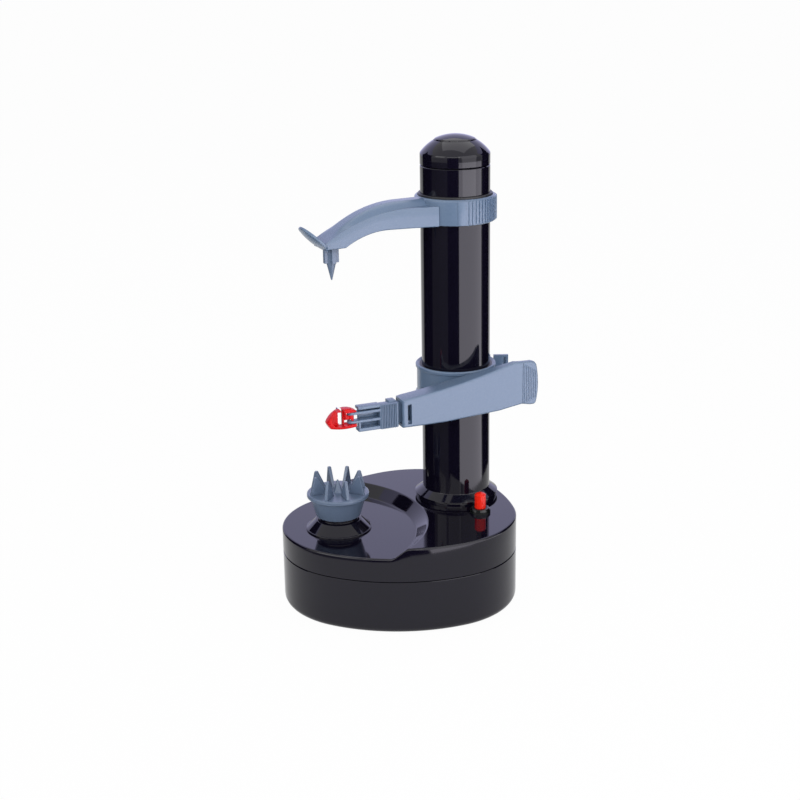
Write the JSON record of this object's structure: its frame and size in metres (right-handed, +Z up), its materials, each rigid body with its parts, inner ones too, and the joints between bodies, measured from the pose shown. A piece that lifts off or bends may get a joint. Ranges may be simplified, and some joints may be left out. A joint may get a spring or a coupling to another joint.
{
  "type": "electric potato peeler",
  "caption": "Upright battery peeler: black base with tray and column, spinning pronged food holder, sliding top arm with spike, and a sprung blade arm on a lead-screw carriage",
  "frame": {"origin": "centre of the base's footprint, on the worktop under the rubber feet", "axes": "+X to the right, +Y to the back, +Z up along the column; the food holder is at the front left of the column"},
  "size_m": [0.1619, 0.1377, 0.29],
  "materials": {
    "shell": "high-gloss black ABS",
    "blue": "satin blue-grey ABS",
    "fins": "satin dark blue plastic",
    "red": "glossy red plastic",
    "black_plain": "fine-grained black plastic",
    "rubber": "soft black rubber",
    "steel": "bright steel",
    "natural": "natural acetal",
    "brass": "turned brass",
    "cell": "plain sleeved cell",
    "board": "green laminate"
  },
  "bodies": {
    "base": {"base_bottom": "shell", "base_top": "shell", "rubber_feet": "rubber", "base_screws": "steel", "battery_cells": "cell", "battery_contacts": "steel", "dc_socket": "black_plain", "gearbox_plate": "natural", "plate_screws": "steel", "gear_pins": "steel", "motor": "steel", "upper_bearing": "natural", "column_tube": "shell", "column_screws": "steel", "column_cap": "shell", "cap_knob": "shell", "stop_switch": "black_plain", "switch_bezel": "shell", "start_switch": "black_plain", "button_spring": "steel", "circuit_board": "board", "hub_cone": "shell"},
    "door": {"battery_door": "shell"},
    "motor_drive": {"motor_pinion": "brass"},
    "first_wheel": {"first_gear": "natural"},
    "second_wheel": {"second_gear": "natural"},
    "turntable": {"turntable_gear": "natural", "turntable_shaft": "steel", "prong_holder": "fins", "prong_fins": "fins"},
    "screw": {"screw_gear": "natural", "lead_screw": "natural"},
    "button": {"push_button": "red"},
    "top": {"top_arm": "blue", "collar_liner": "black_plain"},
    "spike": {"top_spike": "fins"},
    "carrier": {"carriage": "blue", "carriage_liner": "black_plain", "arm_pin": "steel", "lever_pin_rod": "steel", "arm_spring": "steel"},
    "release": {"nut_lever": "blue", "half_nut": "natural"},
    "arm": {"blade_arm": "blue"},
    "cartridge": {"blade_slide": "blue", "holder_pin": "steel"},
    "shield": {"blade_holder": "red", "blade": "steel"}
  },
  "joints": [
    {"name": "turntable_spin", "type": "hinge", "parent": "base", "child": "turntable", "pos_m": [-0.03709, -0.01686, 0.06], "axis": [0, 0, 1], "continuous": true},
    {"name": "second_wheel_spin", "type": "hinge", "parent": "base", "child": "second_wheel", "pos_m": [0.00256, 0.00334, 0.03], "axis": [0, 0, 1], "continuous": true},
    {"name": "screw_spin", "type": "hinge", "parent": "base", "child": "screw", "pos_m": [0.0382, 0.0215, 0.06], "axis": [0, 0, 1], "continuous": true},
    {"name": "first_wheel_spin", "type": "hinge", "parent": "base", "child": "first_wheel", "pos_m": [-0.00489, 0.03116, 0.035], "axis": [0, 0, 1], "continuous": true},
    {"name": "motor_spin", "type": "hinge", "parent": "base", "child": "motor_drive", "pos_m": [-0.02005, 0.03991, 0.038], "axis": [0, 0, 1], "continuous": true},
    {"name": "door_hinge", "type": "hinge", "parent": "base", "child": "door", "pos_m": [0, -0.0064, 0.0035], "axis": [1, 0, 0], "range_deg": [0, 85]},
    {"name": "button_press", "type": "slide", "parent": "base", "child": "button", "axis": [0, 0, -1], "range_m": [0, 0.0025], "stiffness_N_per_m": 400, "springref_m": -0.0006, "deforming": ["button_spring"]},
    {"name": "top_arm_slide", "type": "slide", "parent": "base", "child": "top", "axis": [0, 0, 1], "range_m": [-0.08, 0.016]},
    {"name": "spike_spin", "type": "hinge", "parent": "top", "child": "spike", "pos_m": [-0.03709, -0.01686, 0.225], "axis": [0, 0, 1], "continuous": true},
    {"name": "carriage_slide", "type": "slide", "parent": "base", "child": "carrier", "axis": [0, 0, 1], "range_m": [-0.035, 0.08]},
    {"name": "nut_release", "type": "hinge", "parent": "carrier", "child": "release", "pos_m": [0.05723, 0.04417, 0.136], "axis": [0, 0, 1], "range_deg": [-4, 0], "stiffness_Nm_per_rad": 0.3, "springref_deg": 2.86},
    {"name": "arm_swing", "type": "hinge", "parent": "carrier", "child": "arm", "pos_m": [0.05798, -0.0061, 0.138], "axis": [0, 0, 1], "range_deg": [-16, 16], "stiffness_Nm_per_rad": 0.15},
    {"name": "cartridge_slide", "type": "slide", "parent": "arm", "child": "cartridge", "axis": [-0.9272, -0.3746, 0], "range_m": [0, 0.012]},
    {"name": "shield_swivel", "type": "hinge", "parent": "cartridge", "child": "shield", "pos_m": [-0.02735, -0.04209, 0.132], "axis": [0, 0, 1], "range_deg": [-10, 10]}
  ],
  "couplings": [
    {"joint": "second_wheel_spin", "follows": "turntable_spin", "ratio": -1.6176},
    {"joint": "screw_spin", "follows": "turntable_spin", "ratio": 1.1957},
    {"joint": "first_wheel_spin", "follows": "turntable_spin", "ratio": 8.0882},
    {"joint": "motor_spin", "follows": "turntable_spin", "ratio": -48.529}
  ]
}
